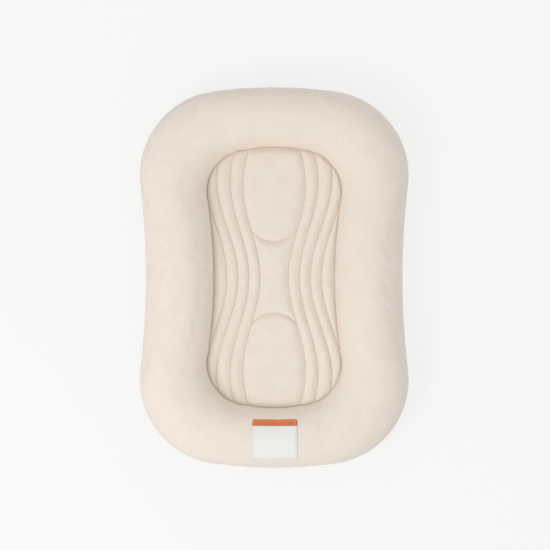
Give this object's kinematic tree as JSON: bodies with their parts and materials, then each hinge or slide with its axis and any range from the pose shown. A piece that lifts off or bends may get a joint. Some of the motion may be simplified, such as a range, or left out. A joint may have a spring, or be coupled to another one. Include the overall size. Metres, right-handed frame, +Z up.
{
  "type": "infant lounger",
  "caption": "Oblong infant lounger: a fibre-filled rim round a quilted centre with wavy sewn channels, in a zip-off cotton cover, with a blank label on the foot rim.",
  "frame": {"origin": "on the floor, under the middle of the lounger", "axes": "+X to the right as the picture shows it, +Y towards the head end, +Z up"},
  "size_m": [0.5182, 0.735, 0.1069],
  "materials": {
    "cover_cotton": "smooth cotton knit, matte",
    "liner_cloth": "plain woven polyester cotton, matte",
    "polyester_fibre": "hollow fibre filling",
    "pad_foam": "open-cell foam",
    "label_satin": "white satin with a plain coloured band",
    "sewing_thread": "spun polyester thread",
    "zip_tape_cloth": "woven polyester tape",
    "coil_nylon": "nylon coil",
    "zip_metal": "plated, satin"
  },
  "bodies": {
    "lounger": {"rim_cover_top": "cover_cotton", "rim_cover_under": "cover_cotton", "quilt_face": "cover_cotton", "base_panel_left": "cover_cotton", "base_panel_right": "cover_cotton", "insert_liner_top": "liner_cloth", "insert_liner_under": "liner_cloth", "quilt_backing": "liner_cloth", "fibre_fill": "polyester_fibre", "quilt_batting": "polyester_fibre", "centre_pad": "pad_foam", "blank_label": "label_satin", "label_stitching": "sewing_thread", "zip_tape_left": "zip_tape_cloth", "zip_tape_right": "zip_tape_cloth", "zip_coil_left": "coil_nylon", "zip_coil_right": "coil_nylon", "zip_top_stop_left": "zip_metal", "zip_top_stop_right": "zip_metal", "zip_bottom_stop": "zip_metal", "quilt_stitch_left_1": "sewing_thread", "quilt_stitch_left_2": "sewing_thread", "quilt_stitch_left_3": "sewing_thread", "quilt_stitch_left_4": "sewing_thread", "quilt_stitch_right_1": "sewing_thread", "quilt_stitch_right_2": "sewing_thread", "quilt_stitch_right_3": "sewing_thread", "quilt_stitch_right_4": "sewing_thread", "quilt_stitch_head_arc": "sewing_thread", "quilt_stitch_foot_arc": "sewing_thread"},
    "zip_slider": {"zip_slider": "zip_metal"},
    "zip_pull": {"zip_pull": "zip_metal"}
  },
  "joints": [
    {"name": "zip_slide", "type": "slide", "parent": "lounger", "child": "zip_slider", "axis": [0, -1, 0], "range_m": [0, 0.3814]},
    {"name": "pull_swing", "type": "hinge", "parent": "zip_slider", "child": "zip_pull", "pos_m": [0, 0.1907, 0.0156], "axis": [1, 0, 0], "range_deg": [-90, 90]}
  ]
}
